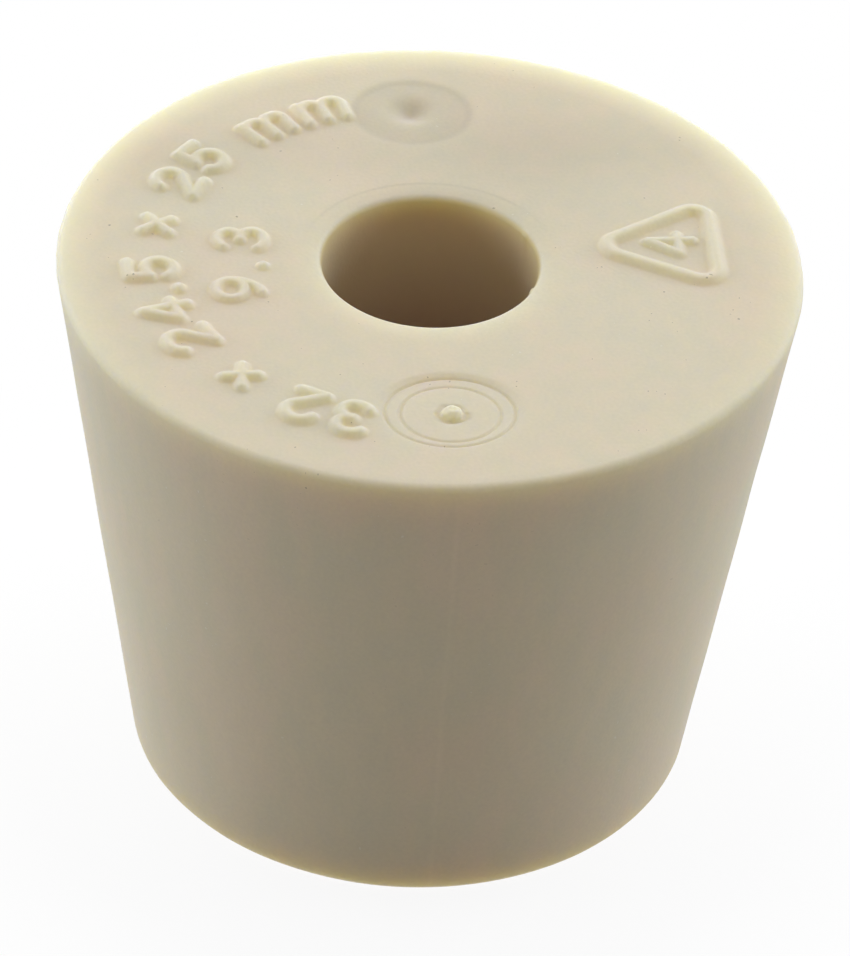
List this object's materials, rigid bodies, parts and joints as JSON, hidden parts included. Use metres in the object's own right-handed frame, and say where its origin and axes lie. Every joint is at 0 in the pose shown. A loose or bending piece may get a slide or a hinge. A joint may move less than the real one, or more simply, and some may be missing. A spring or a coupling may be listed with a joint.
{
  "type": "rubber stopper",
  "caption": "Tapered round stopper of soft beige gum rubber with a straight bore along its axis; it plugs a bottle or flask neck and grips a tube or stem.",
  "frame": {"origin": "centre of the small end face, which the stopper stands on", "axes": "+Z along the bore, from the small end to the large end; the two moulding gate marks lie on -Y (stub) and +Y (pit)"},
  "size_m": [0.032, 0.032, 0.0253],
  "materials": {
    "gum_rubber": "satin moulded natural gum rubber, beige, slightly translucent"
  },
  "bodies": {
    "root": {"stopper": "gum_rubber"}
  },
  "joints": []
}
